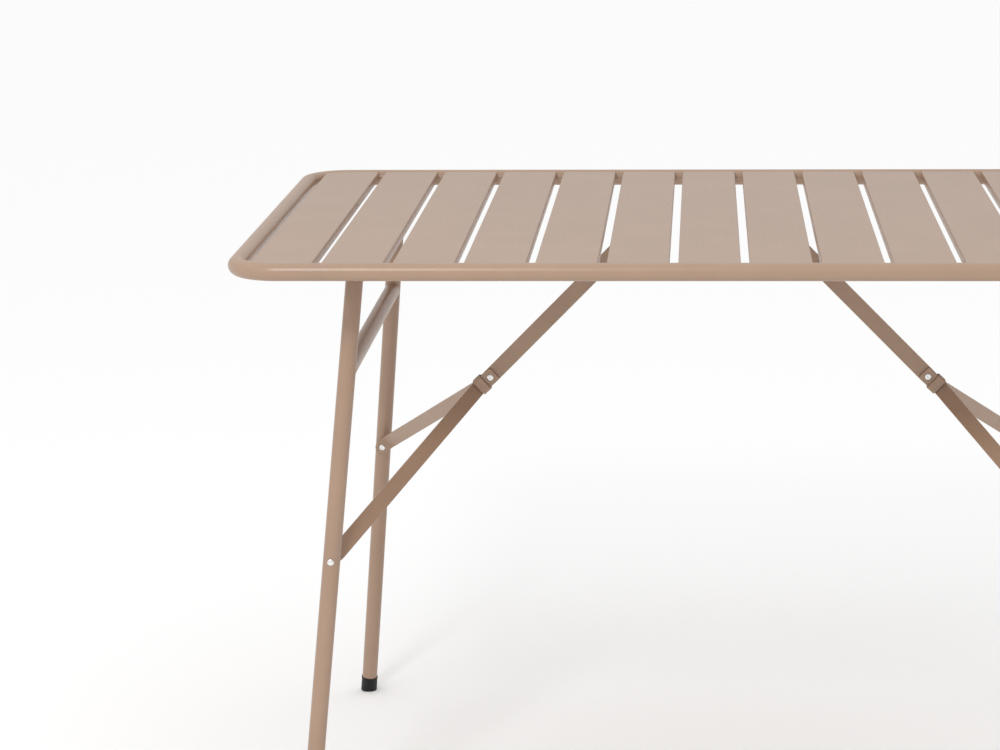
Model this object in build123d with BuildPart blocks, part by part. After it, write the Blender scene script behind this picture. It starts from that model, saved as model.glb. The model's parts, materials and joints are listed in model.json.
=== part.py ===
"""Folding picnic table: a slatted steel top on two folding leg frames, each held by a knuckled brace.

Millimetres, +Z up, origin on the floor under the middle of the top, +X along the top's length.
Depths are measured down from the slats' upper faces. The left end is modelled; the right end is
the same set of pieces turned half round about Z.
"""

import os
from math import hypot, sqrt

from build123d import *

os.makedirs("parts", exist_ok=True)

# The top
slat_top = 750.0
slat_count = 13
slat_width = 72.0
slat_gap = 10.5
slat_sheet = 1.2
slat_flange = 11.0
slat_bend = 1.6
slat_end_gap = 0.5
top_width = 750.0
rim_tube = 21.3
rim_drop = 9.2
rim_corner = 53.0
tube_wall = 1.2

# The leg frames
leg_tube = 21.0
leg_pivot_x = 421.6
leg_pivot_y = 246.2
leg_pivot_depth = 25.0
leg_lean_x = 0.0919
leg_lean_y = 0.1262
leg_top_depth = 14.0
crossbar_depth = 148.5
cap_tube = 23.0
cap_height = 22.0
cap_sole = 4.0

# The braces
brace_rivet_depth = 375.1
brace_pivot_x = 95.5
brace_pivot_depth = 25.0
brace_offset = -4.0
knuckle_x = -280.5
knuckle_depth = 212.26
upper_strap_width = 20.0
lower_strap_width = 19.0
strap_sheet = 3.0
strap_bend = 3.5
tab_length = 22.3
tab_reach = 8.0
tab_corner = 3.0
pad_length = 9.0
pad_gap = 0.3
strap_play = 0.3
strap_edge = 0.4

# The collar that slides along the brace
collar_length = 11.7
collar_start = 8.6
collar_width = 23.2
collar_inner_half = 6.2
collar_sheet = 1.5
collar_corner = 3.2
collar_slot = 4.4

# Brackets, pins and rivets
bracket_sheet = 2.0
leg_bracket_length = 48.0
leg_bracket_half = 13.0
leg_ear_radius = 8.0
brace_bracket_length = 38.0
brace_bracket_width = 30.0
brace_ear_radius = 9.0
brace_ear_gap = 0.4
leg_pin_radius = 4.0
leg_pin_head = 6.5
rivet_radius = 3.0
rivet_head = 4.2
rivet_head_height = 1.8
knuckle_head_height = 1.2
dimple_radius = 1.3
dimple_depth = 0.5
hole_play = 0.05
fit_play = 0.03

# Worked out from the sizes above
slat_pitch = slat_width + slat_gap
rim_radius = rim_tube / 2
rim_x = (slat_count * slat_pitch + slat_gap + rim_tube) / 2
rim_y = (top_width - rim_tube) / 2
rim_z = slat_top - rim_drop
leg_radius = leg_tube / 2
web_underside = slat_top - slat_sheet
tab_centre = strap_sheet + strap_play


def leg_point(depth, side):
    """The point on a left leg's axis at a depth; side is -1 at the front and +1 at the back."""
    below = depth - leg_pivot_depth
    return Vector(
        -(leg_pivot_x + leg_lean_x * below),
        side * (leg_pivot_y + leg_lean_y * below),
        slat_top - depth,
    )


def upright(x, y, depth):
    """A plane facing the front, with its X along the table and its Y upwards."""
    return Plane(origin=(x, y, slat_top - depth), x_dir=(1, 0, 0), z_dir=(0, -1, 0))


brace_rivet_x = leg_point(brace_rivet_depth, 1).X
leg_slope = sqrt(1 + leg_lean_y**2)
lower_link = hypot(brace_rivet_x - knuckle_x, brace_rivet_depth - knuckle_depth)
upper_link = hypot(brace_pivot_x + knuckle_x, knuckle_depth - brace_pivot_depth)
strap_half = lower_strap_width / 2
pad_corner = hypot(pad_length, strap_half)
pad_face = leg_point(brace_rivet_depth - pad_corner, 1).Y - leg_radius * leg_slope - pad_gap


def export_left(part, name):
    """Writes a piece of the left end and its twin at the right end."""
    part.label = f"left_{name}"
    export_step(part, f"parts/left_{name}.step")
    swapped = {"front": "back", "back": "front"}
    twin_name = "_".join(swapped.get(word, word) for word in name.split("_"))
    with BuildPart() as twin:
        add(part, rotation=(0, 0, 180))
    twin.part.label = f"right_{twin_name}"
    export_step(twin.part, f"parts/right_{twin_name}.step")


# Rim: one round tube bent into a rounded rectangle
def rim_solid(outer, inner):
    """The rim's tube as a swept solid; an inner radius of 0 leaves it solid."""
    with BuildPart() as half_rim:
        with BuildLine():
            FilletPolyline(
                (0, -rim_y, rim_z),
                (rim_x, -rim_y, rim_z),
                (rim_x, rim_y, rim_z),
                (0, rim_y, rim_z),
                radius=rim_corner,
            )
        with BuildSketch(Plane(origin=(0, -rim_y, rim_z), x_dir=(0, 1, 0), z_dir=(1, 0, 0))):
            Circle(outer)
            if inner:
                Circle(inner, mode=Mode.SUBTRACT)
        sweep()
        mirror(about=Plane.YZ)
    return half_rim.part


with BuildPart() as rim_frame:
    add(rim_solid(rim_radius, rim_radius - tube_wall))
rim_frame.part.label = "rim_frame"
export_step(rim_frame.part, "parts/rim_frame.step")

# Slats: folded sheet with two turned-down edges, the ends trimmed to the rim's tube
rim_cutter = rim_solid(rim_radius + slat_end_gap, 0)
for number in range(1, slat_count + 1):
    slat_x = (number - (slat_count + 1) / 2) * slat_pitch
    with BuildPart() as slat:
        with BuildSketch(upright(slat_x, 0, 0)) as section:
            with Locations((0, -slat_flange / 2)):
                Rectangle(slat_width, slat_flange)
            fillet(section.vertices().group_by(Axis.Y)[-1], slat_bend)
            with Locations((0, -slat_sheet - slat_flange / 2)):
                RectangleRounded(
                    slat_width - 2 * slat_sheet,
                    slat_flange,
                    slat_bend - slat_sheet,
                    mode=Mode.SUBTRACT,
                )
            with Locations((0, -slat_flange)):
                Rectangle(slat_width - 2 * slat_sheet, slat_flange, mode=Mode.SUBTRACT)
        extrude(amount=rim_y, both=True)
        with BuildSketch(Plane.XY.offset(slat_top - 2 * slat_flange)):
            RectangleRounded(2 * rim_x, 2 * rim_y, rim_corner)
        extrude(amount=3 * slat_flange, mode=Mode.INTERSECT)
        add(rim_cutter, mode=Mode.SUBTRACT)
    slat.part.label = f"slat_{number:02d}"
    export_step(slat.part, f"parts/slat_{number:02d}.step")


def bracket(x, y, pin_depth, length, inner_half, ear_radius, pin_radius, base_half):
    """A folded bracket under a slat: a base plate and two ears that hold a pin along Y."""
    with BuildPart() as piece:
        with BuildSketch(Plane.XY.offset(web_underside - fit_play)):
            with Locations((x, y)):
                RectangleRounded(length, 2 * base_half, bracket_sheet)
        extrude(amount=-bracket_sheet)
        for ear_side in (-1, 1):
            ear_middle = y + ear_side * (inner_half + bracket_sheet / 2)
            with BuildSketch(upright(x, ear_middle, pin_depth)):
                Circle(ear_radius)
                with Locations((0, pin_depth - slat_sheet - 1.5 * bracket_sheet)):
                    Rectangle(length - 2 * bracket_sheet, bracket_sheet)
                make_hull()
            extrude(amount=bracket_sheet / 2, both=True)
        with BuildSketch(upright(x, y, pin_depth)):
            Circle(pin_radius + fit_play)
        extrude(amount=2 * base_half, both=True, mode=Mode.SUBTRACT)
    return piece.part


def pin(x, y, depth, radius, half_grip, head_radius, head_height):
    """A headed pin along Y that grips half_grip on each side of y, with a dimple in each head."""
    with BuildPart() as piece:
        with BuildSketch(upright(x, y, depth)):
            Circle(radius)
        extrude(amount=half_grip + head_height / 2, both=True)
        for head_side in (-1, 1):
            face = Plane(
                origin=(x, y + head_side * half_grip, slat_top - depth),
                x_dir=(1, 0, 0),
                z_dir=(0, head_side, 0),
            )
            with BuildSketch(face):
                Circle(head_radius)
            extrude(amount=head_height, taper=12)
            with BuildSketch(face.offset(head_height)):
                Circle(dimple_radius)
            extrude(amount=-dimple_depth, mode=Mode.SUBTRACT)
    return piece.part


# Leg brackets, their pins, the legs and their foot caps
leg_bores = {}
for side, place in ((-1, "front"), (1, "back")):
    pivot = leg_point(leg_pivot_depth, side)
    with BuildPart() as leg_bracket:
        add(
            bracket(
                pivot.X,
                pivot.Y,
                leg_pivot_depth,
                leg_bracket_length,
                leg_bracket_half,
                leg_ear_radius,
                leg_pin_radius,
                leg_bracket_half + bracket_sheet,
            )
        )
    export_left(leg_bracket.part, f"{place}_leg_bracket")

    with BuildPart() as leg_pin:
        add(
            pin(
                pivot.X,
                pivot.Y,
                leg_pivot_depth,
                leg_pin_radius,
                leg_bracket_half + bracket_sheet + fit_play,
                leg_pin_head,
                rivet_head_height,
            )
        )
    export_left(leg_pin.part, f"{place}_leg_pin")

    upper_end = leg_point(leg_top_depth, side)
    lower_end = leg_point(slat_top - cap_sole, side)
    leg_axis = (upper_end - lower_end).normalized()
    leg_length = (upper_end - lower_end).length
    with BuildPart() as leg:
        with BuildSketch(Plane(origin=lower_end, z_dir=leg_axis)):
            Circle(leg_radius)
            Circle(leg_radius - tube_wall, mode=Mode.SUBTRACT)
        extrude(amount=leg_length)
        with BuildSketch(upright(pivot.X, pivot.Y, leg_pivot_depth)):
            Circle(leg_pin_radius + hole_play)
        extrude(amount=leg_tube, both=True, mode=Mode.SUBTRACT)
        with BuildSketch(upright(brace_rivet_x, side * leg_pivot_y, brace_rivet_depth)):
            Circle(rivet_radius + hole_play)
        extrude(amount=4 * leg_tube, both=True, mode=Mode.SUBTRACT)
    export_left(leg.part, f"{place}_leg")

    with BuildPart() as leg_blank:
        with BuildSketch(Plane(origin=lower_end, z_dir=leg_axis)):
            Circle(leg_radius + fit_play)
        extrude(amount=leg_length)
    leg_bores[side] = leg_blank.part

    with BuildPart() as foot_cap:
        with BuildSketch(Plane(origin=lower_end - leg_axis * 2 * cap_sole, z_dir=leg_axis)):
            Circle(cap_tube / 2)
        extrude(amount=cap_height + cap_sole)
        fillet(foot_cap.edges().group_by(Axis.Z)[-1], 0.6)
        add(leg_blank.part, mode=Mode.SUBTRACT)
        split(bisect_by=Plane.XY, keep=Keep.TOP)
    export_left(foot_cap.part, f"{place}_foot_cap")

# Crossbar between the two legs, its ends trimmed to their tubes
crossbar_end = leg_point(crossbar_depth, 1)
with BuildPart() as crossbar:
    with BuildSketch(upright(crossbar_end.X, 0, crossbar_depth)):
        Circle(leg_radius)
        Circle(leg_radius - tube_wall, mode=Mode.SUBTRACT)
    extrude(amount=crossbar_end.Y, both=True)
    for side in (-1, 1):
        add(leg_bores[side], mode=Mode.SUBTRACT)
export_left(crossbar.part, "crossbar")

# Leg rivets: a head on each leg's outer face and a shank that ends inside its inner face
with BuildPart() as leg_rivets:
    for side in (-1, 1):
        rivet = leg_point(brace_rivet_depth, side)
        outer_face = rivet.Y + side * leg_radius * leg_slope
        outward = Plane(origin=(rivet.X, rivet.Y, rivet.Z), x_dir=(1, 0, 0), z_dir=(0, side, 0))
        with BuildSketch(outward.offset(leg_radius / 2)):
            Circle(rivet_head)
        extrude(amount=leg_radius / 2 + rivet_head_height)
        add(leg_bores[side], mode=Mode.SUBTRACT)
        with BuildSketch(outward.offset(-0.85 * leg_radius)):
            Circle(rivet_radius)
        extrude(amount=1.9 * leg_radius)
        with BuildSketch(outward.offset(leg_radius + rivet_head_height)):
            Circle(dimple_radius)
        extrude(amount=-dimple_depth, mode=Mode.SUBTRACT)
export_left(leg_rivets.part, "leg_rivets")

# Brace bracket under the slat beside the middle one, and its pin
brace_half = strap_sheet / 2 + brace_ear_gap
with BuildPart() as brace_bracket:
    add(
        bracket(
            -brace_pivot_x,
            brace_offset,
            brace_pivot_depth,
            brace_bracket_length,
            brace_half,
            brace_ear_radius,
            rivet_radius,
            brace_bracket_width / 2,
        )
    )
export_left(brace_bracket.part, "brace_bracket")

with BuildPart() as brace_pin:
    add(
        pin(
            -brace_pivot_x,
            brace_offset,
            brace_pivot_depth,
            rivet_radius,
            brace_half + bracket_sheet + fit_play,
            rivet_head,
            knuckle_head_height,
        )
    )
export_left(brace_pin.part, "brace_pin")

# Upper strap: a flat bar with round ends
upper_run = Vector(-brace_pivot_x - knuckle_x, 0, knuckle_depth - brace_pivot_depth)
upper_plane = Plane(
    origin=(knuckle_x, brace_offset, slat_top - knuckle_depth),
    x_dir=upper_run.normalized(),
    z_dir=(0, -1, 0),
)
with BuildPart() as upper_strap:
    with BuildSketch(upper_plane):
        with Locations((upper_link / 2, 0)):
            SlotCenterToCenter(upper_link, upper_strap_width)
        with Locations((0, 0), (upper_link, 0)):
            Circle(rivet_radius + hole_play, mode=Mode.SUBTRACT)
    extrude(amount=strap_sheet / 2, both=True)
    fillet(upper_strap.faces().filter_by(Axis.Y).edges(), strap_edge)
export_left(upper_strap.part, "upper_strap")

# Lower straps: flat square-ended tabs at the knuckle, bent out to flat round-ended pads on the
# legs' inner faces
lower_run = Vector(brace_rivet_x - knuckle_x, 0, knuckle_depth - brace_rivet_depth).normalized()
knuckle_point = Vector(knuckle_x, brace_offset, slat_top - knuckle_depth)
strap_edge_on = Plane(origin=knuckle_point, x_dir=lower_run, z_dir=lower_run.cross(Vector(0, 1, 0)))
strap_face_on = Plane(origin=knuckle_point, x_dir=lower_run, z_dir=(0, -1, 0))
for side, place in ((-1, "front"), (1, "back")):
    tab_y = side * tab_centre
    pad_y = side * (pad_face - strap_sheet / 2) - brace_offset
    with BuildPart() as lower_strap:
        with BuildSketch(strap_edge_on):
            with BuildLine():
                FilletPolyline(
                    (-strap_half, tab_y),
                    (tab_length, tab_y),
                    (lower_link - pad_length, pad_y),
                    (lower_link + strap_half, pad_y),
                    radius=strap_bend,
                )
            trace(line_width=strap_sheet)
        extrude(amount=strap_half, both=True)
        across = Axis((0, 0, 0), strap_edge_on.z_dir)
        side_faces = lower_strap.faces().sort_by(across)
        chamfer(side_faces[0].edges() + side_faces[-1].edges(), strap_edge)
        with BuildSketch(strap_face_on) as outline:
            with Locations(((lower_link - tab_reach) / 2, 0)):
                Rectangle(lower_link + tab_reach, lower_strap_width)
            fillet(outline.vertices().group_by(Axis.X)[0], tab_corner)
            with Locations((lower_link, 0)):
                Circle(strap_half)
            with Locations((0, 0), (lower_link, 0)):
                Circle(rivet_radius + hole_play, mode=Mode.SUBTRACT)
        extrude(amount=top_width / 2, both=True, mode=Mode.INTERSECT)
    export_left(lower_strap.part, f"{place}_lower_strap")

# Pad rivets: a head on each pad's inner face and a stub through its hole
with BuildPart() as pad_rivets:
    for side in (-1, 1):
        pad = Plane(
            origin=(brace_rivet_x, side * pad_face, slat_top - brace_rivet_depth),
            x_dir=(1, 0, 0),
            z_dir=(0, -side, 0),
        )
        with BuildSketch(pad):
            Circle(rivet_radius)
        extrude(amount=strap_sheet + rivet_head_height / 2)
        with BuildSketch(pad.offset(strap_sheet + fit_play)):
            Circle(rivet_head)
        extrude(amount=rivet_head_height, taper=12)
        with BuildSketch(pad.offset(strap_sheet + fit_play + rivet_head_height)):
            Circle(dimple_radius)
        extrude(amount=-dimple_depth, mode=Mode.SUBTRACT)
export_left(pad_rivets.part, "pad_rivets")

# Knuckle rivet through the two tabs and the upper strap between them
with BuildPart() as knuckle_rivet:
    add(
        pin(
            knuckle_x,
            brace_offset,
            knuckle_depth,
            rivet_radius,
            tab_centre + strap_sheet / 2 + fit_play,
            rivet_head,
            knuckle_head_height,
        )
    )
export_left(knuckle_rivet.part, "knuckle_rivet")

# Locking collar: a folded band around the tabs, open along its upper side
collar_plane = Plane(
    origin=knuckle_point + lower_run * collar_start,
    x_dir=(0, -1, 0),
    z_dir=lower_run,
)
with BuildPart() as collar:
    with BuildSketch(collar_plane):
        RectangleRounded(2 * (collar_inner_half + collar_sheet), collar_width, collar_corner)
        RectangleRounded(
            2 * collar_inner_half,
            collar_width - 2 * collar_sheet,
            collar_corner - collar_sheet,
            mode=Mode.SUBTRACT,
        )
        with Locations((0, collar_width / 2)):
            Rectangle(collar_slot, collar_width / 2, mode=Mode.SUBTRACT)
    extrude(amount=collar_length)
export_left(collar.part, "lock_collar")
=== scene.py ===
"""Looks for the folding picnic table: powder-coated steel, black foot caps and zinc rivets.

Metres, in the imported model's own frame. Every piece takes its place from the frame's nodes.
Tubes, slats, pins and foot caps are remade finely and stand for their CAD nodes; folded sheet
pieces are softened copies of theirs.
"""

import json
import math

import bmesh
import bpy
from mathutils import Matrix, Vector


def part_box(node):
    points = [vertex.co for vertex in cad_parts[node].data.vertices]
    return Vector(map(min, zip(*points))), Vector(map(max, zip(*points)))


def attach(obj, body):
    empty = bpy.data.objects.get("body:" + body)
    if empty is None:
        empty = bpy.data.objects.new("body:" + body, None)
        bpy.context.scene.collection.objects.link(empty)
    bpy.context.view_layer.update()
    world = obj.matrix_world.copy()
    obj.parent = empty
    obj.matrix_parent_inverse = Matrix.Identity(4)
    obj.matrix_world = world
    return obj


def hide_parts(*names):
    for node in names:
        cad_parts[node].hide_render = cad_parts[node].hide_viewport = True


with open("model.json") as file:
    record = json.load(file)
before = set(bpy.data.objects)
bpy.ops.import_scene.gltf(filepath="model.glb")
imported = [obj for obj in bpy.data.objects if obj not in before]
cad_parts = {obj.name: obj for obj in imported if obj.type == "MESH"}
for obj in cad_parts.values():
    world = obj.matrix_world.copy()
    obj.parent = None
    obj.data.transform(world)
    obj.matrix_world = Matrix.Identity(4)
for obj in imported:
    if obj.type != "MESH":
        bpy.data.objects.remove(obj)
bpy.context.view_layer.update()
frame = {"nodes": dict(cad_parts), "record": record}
scene = bpy.context.scene
nodes = frame["nodes"]
node_body = {
    name: body
    for body, names in frame["record"]["behaviour"]["bodies"].items()
    for name in names
}
node_slot = {entry["node"]: entry["material_slot"] for entry in frame["record"]["subparts"]}

# Camera
CAMERA_PLACE = (-0.0074, -3.6537, 1.3456)
CAMERA_TURN = tuple(math.radians(angle) for angle in (77.563, 0.368, 1.993))
CAMERA_LENS = 104.91
CAMERA_SENSOR = 36
CAMERA_SHIFT_X = -0.1

# Light and floor
WORLD_LIGHT = 0.79
OVERHEAD_LIGHT = 0.66
OVERHEAD_SPREAD = math.radians(110)
LEFT_LIGHT = 0.20
LEFT_SPREAD = math.radians(30)
LEFT_DIRECTION = (0.655, 0.655, -0.375)
FRONT_LIGHT = 17.0
FRONT_LIGHT_SIZE = 0.42
FRONT_LIGHT_PLACE = (-0.80, -2.0, 2.1)
FRONT_LIGHT_AIM = -0.45  # along the front rail, as a share of half its length
FLOOR_WHITE = 0.94
FLOOR_ROUGHNESS = 0.9
FLOOR_HALF = 40

# Sizes that the frame's boxes don't give
RIM_CORNER = 0.053
TUBE_WALL = 0.0012
SLAT_SHEET = 0.0012
SLAT_BEND = 0.0016
SLAT_END_GAP = 0.0005
LEG_RADIUS = 0.0105
LEG_LEAN = (0.0919, 0.1262)
LEG_ABOVE_PIVOT = 0.011
CAP_RADIUS = 0.0115
CAP_HEIGHT = 0.022
CAP_SOLE = 0.004
CROSSBAR_BELOW_PIVOT = 0.1235
PIN_HEAD_HEIGHT = 0.0018
RIVET_HEAD_HEIGHT = 0.0012
RIVET_HEAD_RADIUS = 0.0042
HEAD_RIM = 0.0001  # the straight edge under a dome
LEG_PIN_RADIUS = 0.004
RIVET_RADIUS = 0.003
LEG_RIVET_DEPTH = 0.006
STRAP_SHEET = 0.003
DIMPLE_RADIUS = 0.0013
DIMPLE_DEPTH = 0.0005
TUBE_LIP = 0.0003
SLAT_WELD_RADIUS = 0.0013
SLAT_WELD_RIPPLE = 0.16
SLAT_WELD_HALF = 0.009
SLAT_WELD_PLACES = (0.3, 0.7)  # as shares of a slat's width
CROSSBAR_WELD_RADIUS = 0.0009
CROSSBAR_WELD_RIPPLE = 0.12
CROSSBAR_WELD_RING = 0.94  # the radius of its path, as a share of the crossbar's
BRACKET_EDGE = 0.0005
STRAP_EDGE = 0.0003

# Points round a circle
TUBE_SEGMENTS = 64
RIM_SEGMENTS = 56
TURNED_SEGMENTS = 48
BEAD_SEGMENTS = 10

NOISE_SPAN = (0.3, 0.7)  # the noise values at the two ends of a ramp

# Which way each end and each leg of an end lies along X and Y
SIDES = {"left": -1, "right": 1}
PLACES = {"front": -1, "back": 1}


# Materials
def new_material(name):
    material = bpy.data.materials.new(name)
    material.use_nodes = True
    tree = material.node_tree
    return material, tree.nodes, tree.links, tree.nodes["Principled BSDF"]


def noise(tree_nodes, links, place, scale, detail):
    texture = tree_nodes.new("ShaderNodeTexNoise")
    texture.inputs["Scale"].default_value = scale
    texture.inputs["Detail"].default_value = detail
    links.new(place, texture.inputs["Vector"])
    return texture.outputs["Fac"]


def ramp(tree_nodes, links, factor, low, high):
    node = tree_nodes.new("ShaderNodeValToRGB")
    for stop, position, colour in zip(node.color_ramp.elements, NOISE_SPAN, (low, high)):
        stop.position = position
        stop.color = colour
    links.new(factor, node.inputs["Fac"])
    return node.outputs["Color"]


def bump(tree_nodes, links, height, distance, normal=None):
    node = tree_nodes.new("ShaderNodeBump")
    node.inputs["Distance"].default_value = distance
    links.new(height, node.inputs["Height"])
    if normal:
        links.new(normal, node.inputs["Normal"])
    return node.outputs["Normal"]


def grey(value):
    return (value, value, value, 1)


def mottled(shader, tree_nodes, links, pattern, low, high):
    """Colours a shader between two colours by a pattern."""
    links.new(ramp(tree_nodes, links, pattern, low, high), shader.inputs["Base Color"])


def uneven_gloss(shader, tree_nodes, links, pattern, low, high):
    """Varies a shader's roughness between two values by a pattern."""
    roughness = ramp(tree_nodes, links, pattern, grey(low), grey(high))
    links.new(roughness, shader.inputs["Roughness"])


def powder_coat():
    """Taupe powder coat: orange peel over a finer grain, a slight mottle and uneven gloss."""
    material, tree_nodes, links, shader = new_material("powder_coat")
    place = tree_nodes.new("ShaderNodeTexCoord").outputs["Object"]
    mottle = noise(tree_nodes, links, place, scale=14.0, detail=4.0)
    dark, light = (0.342, 0.226, 0.157, 1), (0.367, 0.244, 0.170, 1)
    mottled(shader, tree_nodes, links, mottle, dark, light)
    gloss = noise(tree_nodes, links, place, scale=220.0, detail=2.0)
    uneven_gloss(shader, tree_nodes, links, gloss, low=0.31, high=0.37)
    orange_peel = noise(tree_nodes, links, place, scale=520.0, detail=1.0)
    grain = noise(tree_nodes, links, place, scale=2600.0, detail=2.0)
    peeled = bump(tree_nodes, links, orange_peel, distance=0.00005)
    grained = bump(tree_nodes, links, grain, distance=0.00002, normal=peeled)
    links.new(grained, shader.inputs["Normal"])
    return material


def foot_plastic():
    """Black moulded plastic with a fine grain and faint scuffs."""
    material, tree_nodes, links, shader = new_material("foot_plastic")
    shader.inputs["Specular IOR Level"].default_value = 0.32
    place = tree_nodes.new("ShaderNodeTexCoord").outputs["Object"]
    scuff = noise(tree_nodes, links, place, scale=120.0, detail=3.0)
    dark, light = (0.006, 0.006, 0.007, 1), (0.012, 0.012, 0.013, 1)
    mottled(shader, tree_nodes, links, scuff, dark, light)
    uneven_gloss(shader, tree_nodes, links, scuff, low=0.45, high=0.62)
    grain = noise(tree_nodes, links, place, scale=2200.0, detail=1.0)
    links.new(bump(tree_nodes, links, grain, distance=0.00005), shader.inputs["Normal"])
    return material


def zinc():
    """Bright zinc plate with a faint spangle."""
    material, tree_nodes, links, shader = new_material("zinc")
    shader.inputs["Metallic"].default_value = 1.0
    place = tree_nodes.new("ShaderNodeTexCoord").outputs["Object"]
    spangle = noise(tree_nodes, links, place, scale=700.0, detail=3.0)
    dark, light = (0.70, 0.70, 0.70, 1), (0.86, 0.86, 0.85, 1)
    mottled(shader, tree_nodes, links, spangle, dark, light)
    uneven_gloss(shader, tree_nodes, links, spangle, low=0.16, high=0.26)
    links.new(bump(tree_nodes, links, spangle, distance=0.00003), shader.inputs["Normal"])
    return material


SLOT_MATERIALS = {"powder_coat": powder_coat(), "foot_plastic": foot_plastic(), "zinc": zinc()}
for name, node in nodes.items():
    node.data.materials.clear()
    node.data.materials.append(SLOT_MATERIALS[node_slot[name]])


# Making meshes
def finish_piece(name, mesh, body, slot, replaced=(), sharp_degrees=35):
    """Shades a mesh smooth but for its sharp edges, and puts it in the scene on its body, hiding
    the nodes it stands for.
    """
    mesh.materials.clear()
    mesh.materials.append(SLOT_MATERIALS[slot])
    for face in mesh.polygons:
        face.use_smooth = True
    mesh.set_sharp_from_angle(angle=math.radians(sharp_degrees))
    piece = bpy.data.objects.new(name, mesh)
    scene.collection.objects.link(piece)
    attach(piece, body)
    if replaced:
        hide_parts(*replaced)
    return piece


def mesh_of(name, points, faces):
    mesh = bpy.data.meshes.new(name)
    mesh.from_pydata([tuple(point) for point in points], [], faces)
    work = bmesh.new()
    work.from_mesh(mesh)
    bmesh.ops.recalc_face_normals(work, faces=work.faces)
    work.to_mesh(mesh)
    work.free()
    return mesh


def lofted(name, rings, closed=False, capped=False):
    """A mesh through rings of points, each ring with the same number of points."""
    count = len(rings[0])
    points = [point for ring in rings for point in ring]
    faces = []
    for row in range(len(rings) if closed else len(rings) - 1):
        here, there = row * count, (row + 1) % len(rings) * count
        for i in range(count):
            j = (i + 1) % count
            faces.append((here + i, here + j, there + j, there + i))
    if capped:
        faces.append(tuple(range(count)))
        faces.append(tuple(range(len(points) - count, len(points))))
    return mesh_of(name, points, faces)


def square_frame(axis):
    """Two directions square to an axis and to each other."""
    along = Vector(axis).normalized()
    side = along.orthogonal().normalized()
    return along, side, along.cross(side)


def circle(centre, side, up, radius, count):
    """Points round a circle that lies in the plane of two directions square to each other."""
    return [
        centre
        + side * radius * math.cos(math.tau * i / count)
        + up * radius * math.sin(math.tau * i / count)
        for i in range(count)
    ]


def turned_rings(profile, origin, axis, segments):
    """Circles about an axis from pairs of distance along it and radius."""
    along, side, up = square_frame(axis)
    start = Vector(origin)
    return [
        circle(start + along * distance, side, up, radius, segments)
        for distance, radius in profile
    ]


def turned(name, profile, origin, axis):
    """A shape turned about an axis from a profile, with closed ends."""
    return lofted(name, turned_rings(profile, origin, axis, TURNED_SEGMENTS), capped=True)


def hollow_tube(name, start, end, radius):
    """An open tube with lightly rounded rims, from start to end."""
    length = (end - start).length
    inside = radius - TUBE_WALL
    profile = [
        (0, inside + TUBE_LIP),
        (0, radius - TUBE_LIP),
        (TUBE_LIP, radius),
        (length - TUBE_LIP, radius),
        (length, radius - TUBE_LIP),
        (length, inside + TUBE_LIP),
        (length - TUBE_LIP, inside),
        (TUBE_LIP, inside),
    ]
    rings = turned_rings(profile, start, end - start, TUBE_SEGMENTS)
    return lofted(name, rings, closed=True)


def bead(path, radius, ripple, closed=False):
    """A weld bead along a path of points, its radius rippling from point to point."""
    ripple_turn, end_share = 1.9, 0.35
    last_side = None
    rings = []
    for i, point in enumerate(path):
        before = path[i - 1] if closed or i else point
        after = path[(i + 1) % len(path)] if closed or i < len(path) - 1 else point
        along, side, up = square_frame(after - before)
        if last_side is not None:
            # carry the last ring's direction on, so that the bead doesn't twist
            side = (last_side - along * last_side.dot(along)).normalized()
            up = along.cross(side)
        last_side = side
        swell = radius * (1 + ripple * math.sin(ripple_turn * i))
        if not closed and i in (0, len(path) - 1):
            swell *= end_share
        rings.append(circle(point, side, up, swell, BEAD_SEGMENTS))
    return lofted("weld", rings, closed=closed, capped=not closed)


def joined(name, meshes):
    """One mesh from several."""
    work = bmesh.new()
    for mesh in meshes:
        work.from_mesh(mesh)
        bpy.data.meshes.remove(mesh)
    result = bpy.data.meshes.new(name)
    work.to_mesh(result)
    work.free()
    return result


# The rim, a closed tube round the top
rim_low, rim_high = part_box("rim_frame")
RIM_RADIUS = (rim_high.z - rim_low.z) / 2
RIM_X = rim_high.x - RIM_RADIUS
RIM_Y = rim_high.y - RIM_RADIUS
RIM_Z = (rim_high.z + rim_low.z) / 2


def rim_piece():
    """A tube bent into a rectangle with round corners."""
    arc_steps = 28
    upward = Vector((0, 0, 1))
    rings = []
    for corner, (sign_x, sign_y) in enumerate(((1, 1), (-1, 1), (-1, -1), (1, -1))):
        centre = Vector((sign_x * (RIM_X - RIM_CORNER), sign_y * (RIM_Y - RIM_CORNER), RIM_Z))
        for step in range(arc_steps + 1):
            angle = math.pi / 2 * (corner + step / arc_steps)
            outward = Vector((math.cos(angle), math.sin(angle), 0))
            middle = centre + outward * RIM_CORNER
            rings.append(circle(middle, outward, upward, RIM_RADIUS, RIM_SEGMENTS))
    mesh = lofted("rim", rings, closed=True)
    finish_piece("rim", mesh, "top", "powder_coat", ["rim_frame"])


# The slats, folded from sheet, their ends following the rim's tube
def slat_reach(x, z):
    """How far a slat reaches along Y at a place in its section, up to the rim's tube."""
    height = min(abs(z - RIM_Z), RIM_RADIUS)
    inset = math.sqrt(RIM_RADIUS**2 - height**2) + SLAT_END_GAP
    past_corner = abs(x) - (RIM_X - RIM_CORNER)
    if past_corner <= 0:
        return RIM_Y - inset
    return RIM_Y - RIM_CORNER + math.sqrt((RIM_CORNER - inset) ** 2 - past_corner**2)


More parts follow.
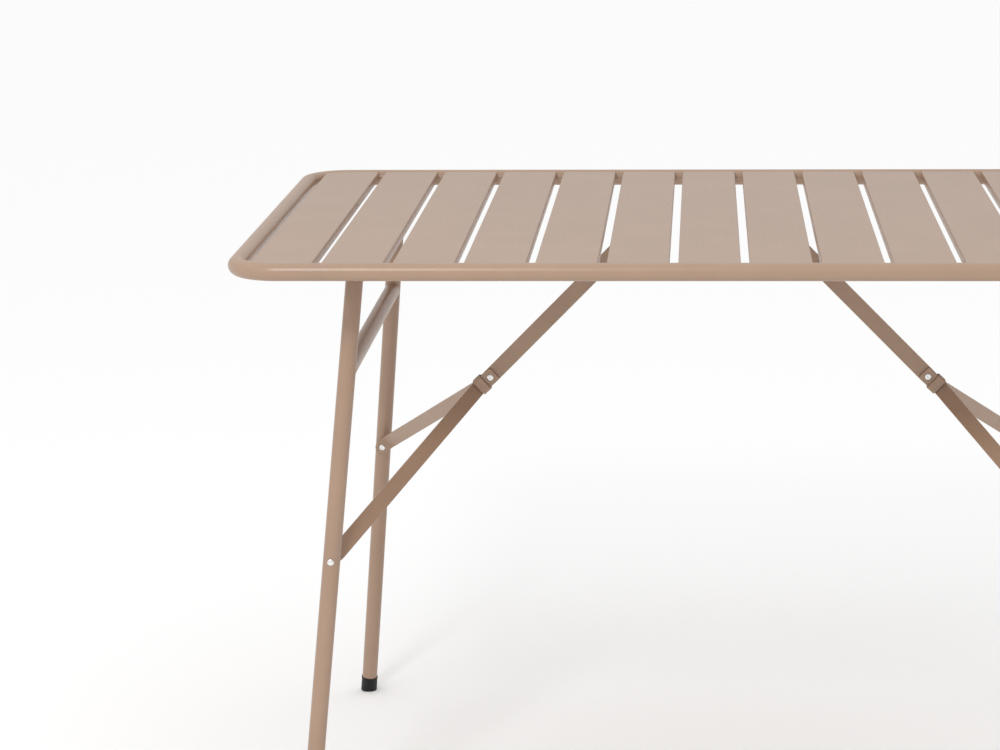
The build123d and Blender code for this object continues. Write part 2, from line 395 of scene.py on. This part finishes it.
def slat_section(low, high):
    """The outer and inner lines of a slat's section, from one flange's foot to the other's."""
    bend_steps, web_steps = 8, 24
    left_bend = Vector((low.x + SLAT_BEND, 0, high.z - SLAT_BEND))
    right_bend = Vector((high.x - SLAT_BEND, 0, high.z - SLAT_BEND))
    lines = []
    for inset in (0, SLAT_SHEET):
        radius = SLAT_BEND - inset
        line = [Vector((low.x + inset, 0, low.z))]
        for step in range(bend_steps + 1):
            angle = math.pi * (1 - step / bend_steps / 2)
            line.append(left_bend + radius * Vector((math.cos(angle), 0, math.sin(angle))))
        for step in range(1, web_steps):
            line.append(left_bend.lerp(right_bend, step / web_steps) + Vector((0, 0, radius)))
        for step in range(bend_steps + 1):
            angle = math.pi / 2 * (1 - step / bend_steps)
            line.append(right_bend + radius * Vector((math.cos(angle), 0, math.sin(angle))))
        line.append(Vector((high.x - inset, 0, low.z)))
        lines.append(line)
    return lines


def slat_piece(name):
    """A slat drawn along Y from its section, with its ends on the rim's tube."""
    outer, inner = slat_section(*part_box(name))
    section = outer + inner[::-1]
    count, half = len(section), len(outer)
    points = [
        Vector((point.x, end * slat_reach(point.x, point.z), point.z))
        for end in (-1, 1)
        for point in section
    ]
    faces = [(i, (i + 1) % count, count + (i + 1) % count, count + i) for i in range(count)]
    for start in (0, count):
        for i in range(half - 1):
            faces.append(
                (start + i, start + i + 1, start + count - 2 - i, start + count - 1 - i)
            )
    finish_piece(name + "_panel", mesh_of(name, points, faces), "top", "powder_coat", [name])


def slat_welds(names):
    """Two short beads under each end of each slat, where its web meets the rim's tube."""
    half_steps, sunk, clear = 6, 0.0004, 0.0001
    for place, sign in PLACES.items():
        beads = []
        for name in names:
            low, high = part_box(name)
            z = high.z - SLAT_SHEET - sunk
            for share in SLAT_WELD_PLACES:
                middle = low.x + share * (high.x - low.x)
                path = []
                for step in range(-half_steps, half_steps + 1):
                    x = middle + SLAT_WELD_HALF * step / half_steps
                    path.append(Vector((x, sign * (slat_reach(x, z) + clear), z)))
                beads.append(bead(path, SLAT_WELD_RADIUS, SLAT_WELD_RIPPLE))
        finish_piece(f"slat_welds_{place}", joined("slat_welds", beads), "top", "powder_coat")


# Legs, crossbars and foot caps
def leg_axis(side, place):
    """A leg's pivot, and the direction down its axis."""
    x_sign, y_sign = SIDES[side], PLACES[place]
    low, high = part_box(f"{side}_{place}_leg_pin")
    pivot = (low + high) / 2
    return pivot, Vector((x_sign * LEG_LEAN[0], y_sign * LEG_LEAN[1], -1))


def leg_piece(side, place):
    """A leg's tube, from above its pivot down into its foot cap."""
    pivot, down = leg_axis(side, place)
    top = pivot - down * LEG_ABOVE_PIVOT
    foot = pivot + down * (pivot.z - CAP_SOLE)
    name = f"{side}_{place}_leg"
    mesh = hollow_tube(name, foot, top, LEG_RADIUS)
    finish_piece(name + "_tube", mesh, node_body[name], "powder_coat", [name])


def foot_cap_piece(side, place):
    """A sleeve over the leg's end with a rolled lip, cut level and rounded at the floor."""
    pivot, down = leg_axis(side, place)
    foot = pivot + down * (pivot.z - CAP_SOLE)
    up = -down.normalized()
    _, across, along = square_frame(up)
    lip, edge = 0.0004, 0.0012
    overlap, play = 0.006, 0.00003
    band, step_height, step_depth = 0.0022, 0.0005, 0.00035
    top = CAP_HEIGHT - CAP_SOLE
    sleeve = [
        (top - overlap, LEG_RADIUS + play),
        (top - lip / 2, LEG_RADIUS + play),
        (top, LEG_RADIUS + lip),
        (top, CAP_RADIUS - lip),
        (top - lip, CAP_RADIUS),
        (top - band, CAP_RADIUS),
        (top - band - step_height, CAP_RADIUS - step_depth),
    ]
    rings = [
        circle(foot + up * distance, across, along, radius, TUBE_SEGMENTS)
        for distance, radius in sleeve
    ]
    # heights above the floor and insets, down round the sole's edge
    sole = [(edge, step_depth), (0.45 * edge, 0.0005), (0.14 * edge, 0.0009), (0, 0.0017)]
    for height, inset in sole:
        ring = circle(foot, across, along, CAP_RADIUS - inset, TUBE_SEGMENTS)
        # slide each point along the leg to its height, so that the ring lies level
        rings.append([point + up * ((height - point.z) / up.z) for point in ring])
    name = f"{side}_{place}_foot_cap"
    mesh = lofted(name, rings, capped=True)
    finish_piece(name + "_sleeve", mesh, node_body[name], "foot_plastic", [name])


def weld_path(end, axis, inward):
    """Points round a crossbar's end where its surface meets the leg on an axis."""
    steps = 72
    path = []
    for step in range(steps):
        angle = math.tau * step / steps
        offset = Vector((math.cos(angle), 0, math.sin(angle))) * CROSSBAR_WELD_RING * LEG_RADIUS
        # travel inward along the bar as far as the leg's surface
        flat = offset - axis * offset.dot(axis)
        run = inward - axis * inward.dot(axis)
        a, b = run.dot(run), 2 * run.dot(flat)
        c = flat.dot(flat) - LEG_RADIUS**2
        travel = (-b + math.sqrt(max(b * b - 4 * a * c, 0))) / (2 * a)
        path.append(end + offset + inward * travel)
    return path


def crossbar_piece(side):
    """A tube from leg to leg, with a weld bead round each end where it meets its leg."""
    name = f"{side}_crossbar"
    ends, beads = {}, []
    for place, sign in PLACES.items():
        pivot, down = leg_axis(side, place)
        ends[place] = pivot + down * CROSSBAR_BELOW_PIVOT
        path = weld_path(ends[place], down.normalized(), Vector((0, -sign, 0)))
        beads.append(bead(path, CROSSBAR_WELD_RADIUS, CROSSBAR_WELD_RIPPLE, closed=True))
    mesh = hollow_tube(name, ends["front"], ends["back"], LEG_RADIUS)
    finish_piece(name + "_tube", mesh, node_body[name], "powder_coat", [name])
    finish_piece(f"{side}_crossbar_welds", joined("welds", beads), node_body[name], "powder_coat")


# Pins and rivets
def head_profile(head_radius, head_height):
    """A domed head with a dimple, from its tip inwards, as distances below the tip and radii."""
    dome_steps = 8
    crown = DIMPLE_RADIUS + 0.0004
    profile = [
        (DIMPLE_DEPTH, 0.15 * DIMPLE_RADIUS),
        (DIMPLE_DEPTH, 0.6 * DIMPLE_RADIUS),
        (0.35 * DIMPLE_DEPTH, 0.95 * DIMPLE_RADIUS),
        (0, crown),
    ]
    for step in range(1, dome_steps + 1):
        angle = math.pi / 2 * step / dome_steps
        below = 0.8 * head_height * (1 - math.cos(angle))
        profile.append((below, crown + (head_radius - crown) * math.sin(angle)))
    return profile


def headed_pin(name, shank_radius, head_height):
    """A pin along Y with a domed head at each end."""
    low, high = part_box(name)
    centre = (low + high) / 2
    half, head_radius = (high.y - low.y) / 2, (high.x - low.x) / 2
    head = head_profile(head_radius, head_height)
    one_end = [(distance - half, radius) for distance, radius in head]
    one_end += [(head_height - half, head_radius), (head_height - half, shank_radius)]
    profile = one_end + [(-distance, radius) for distance, radius in reversed(one_end)]
    mesh = turned(name, profile, centre, (0, 1, 0))
    finish_piece(name + "_turned", mesh, node_body[name], node_slot[name], [name])


def rivet_heads(name, set_back, depth, pointing):
    """Two single heads, tips at a node's ends along Y or set back from them, facing out or in."""
    low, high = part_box(name)
    under = PIN_HEAD_HEIGHT + HEAD_RIM
    profile = head_profile(RIVET_HEAD_RADIUS, PIN_HEAD_HEIGHT) + [(under, RIVET_HEAD_RADIUS)]
    if pointing == "out":
        profile += [(depth, RIVET_HEAD_RADIUS)]
    else:
        profile += [(under, RIVET_RADIUS), (depth, RIVET_RADIUS)]
    heads = []
    for sign, edge in ((-1, low.y), (1, high.y)):
        tip = Vector(((low.x + high.x) / 2, edge - sign * set_back, (low.z + high.z) / 2))
        axis = (0, -sign if pointing == "out" else sign, 0)
        heads.append(turned("head", profile, tip, axis))
    finish_piece(name + "_turned", joined(name, heads), node_body[name], node_slot[name], [name])


# Folded sheet: softened copies of the CAD pieces
def softened(name, width):
    """Stands for a CAD piece: its flats made whole and its sharp edges rounded."""
    merge_distance = 1e-6
    flat_angle, edge_angle = math.radians(1), math.radians(40)
    work = bmesh.new()
    work.from_mesh(nodes[name].data)
    bmesh.ops.remove_doubles(work, verts=work.verts, dist=merge_distance)
    bmesh.ops.dissolve_limit(work, angle_limit=flat_angle, verts=work.verts, edges=work.edges)
    sharp_edges = [
        edge
        for edge in work.edges
        if len(edge.link_faces) == 2 and edge.calc_face_angle(0) > edge_angle
    ]
    bmesh.ops.bevel(
        work,
        geom=sharp_edges,
        offset=width,
        segments=2,
        profile=0.5,
        affect="EDGES",
        clamp_overlap=True,
    )
    mesh = bpy.data.meshes.new(name)
    work.to_mesh(mesh)
    work.free()
    piece = finish_piece(
        name + "_soft", mesh, node_body[name], node_slot[name], [name], sharp_degrees=60
    )
    piece.modifiers.new("weighted_normals", "WEIGHTED_NORMAL").keep_sharp = True


# The building
rim_piece()
slat_names = sorted(name for name in nodes if name.startswith("slat_"))
for name in slat_names:
    slat_piece(name)
slat_welds(slat_names)
for side in SIDES:
    crossbar_piece(side)
    for place in PLACES:
        leg_piece(side, place)
        foot_cap_piece(side, place)
        headed_pin(f"{side}_{place}_leg_pin", LEG_PIN_RADIUS, PIN_HEAD_HEIGHT)
        softened(f"{side}_{place}_leg_bracket", BRACKET_EDGE)
        softened(f"{side}_{place}_lower_strap", STRAP_EDGE)
    headed_pin(f"{side}_brace_pin", RIVET_RADIUS, RIVET_HEAD_HEIGHT)
    headed_pin(f"{side}_knuckle_rivet", RIVET_RADIUS, RIVET_HEAD_HEIGHT)
    rivet_heads(f"{side}_leg_rivets", 0, LEG_RIVET_DEPTH, "out")
    pad_rivet_depth = STRAP_SHEET + PIN_HEAD_HEIGHT
    rivet_heads(f"{side}_pad_rivets", pad_rivet_depth, pad_rivet_depth, "in")
    softened(f"{side}_brace_bracket", BRACKET_EDGE)
    softened(f"{side}_upper_strap", STRAP_EDGE)
    softened(f"{side}_lock_collar", STRAP_EDGE)


# Floor, lights and camera
def studio_floor():
    """A plain white floor."""
    corners = [
        (x * FLOOR_HALF, y * FLOOR_HALF, 0) for x, y in ((-1, -1), (1, -1), (1, 1), (-1, 1))
    ]
    mesh = mesh_of("studio_floor", corners, [(0, 1, 2, 3)])
    floor = bpy.data.objects.new("studio_floor", mesh)
    scene.collection.objects.link(floor)
    material, _, _, shader = new_material("studio_floor")
    shader.inputs["Base Color"].default_value = grey(FLOOR_WHITE)
    shader.inputs["Roughness"].default_value = FLOOR_ROUGHNESS
    shader.inputs["Specular IOR Level"].default_value = 0.0
    mesh.materials.append(material)


def lamp(name, kind, direction, energy, place=(0, 0, 0)):
    """A lamp shining along a direction."""
    data = bpy.data.lights.new(name, kind)
    data.energy = energy
    holder = bpy.data.objects.new(name, data)
    holder.location = place
    holder.rotation_euler = Vector(direction).to_track_quat("-Z", "Y").to_euler()
    scene.collection.objects.link(holder)
    return data


def studio_light():
    """An even white surround, soft light from above and the left, and one on the front rail."""
    world = bpy.data.worlds.new("studio")
    world.use_nodes = True
    background = world.node_tree.nodes["Background"]
    background.inputs["Color"].default_value = grey(1)
    background.inputs["Strength"].default_value = WORLD_LIGHT
    scene.world = world
    lamp("overhead", "SUN", (0, 0, -1), OVERHEAD_LIGHT).angle = OVERHEAD_SPREAD
    lamp("left", "SUN", LEFT_DIRECTION, LEFT_LIGHT).angle = LEFT_SPREAD
    aim = Vector((RIM_X * FRONT_LIGHT_AIM, -RIM_Y, RIM_Z)) - Vector(FRONT_LIGHT_PLACE)
    lamp("front", "AREA", aim, FRONT_LIGHT, FRONT_LIGHT_PLACE).size = FRONT_LIGHT_SIZE


studio_floor()
studio_light()
scene.view_settings.view_transform = "Standard"

camera_data = bpy.data.cameras.new("camera")
camera_data.lens = CAMERA_LENS
camera_data.sensor_width = CAMERA_SENSOR
camera_data.shift_x = CAMERA_SHIFT_X
camera = bpy.data.objects.new("camera", camera_data)
camera.location = CAMERA_PLACE
camera.rotation_euler = CAMERA_TURN
scene.collection.objects.link(camera)
scene.camera = camera
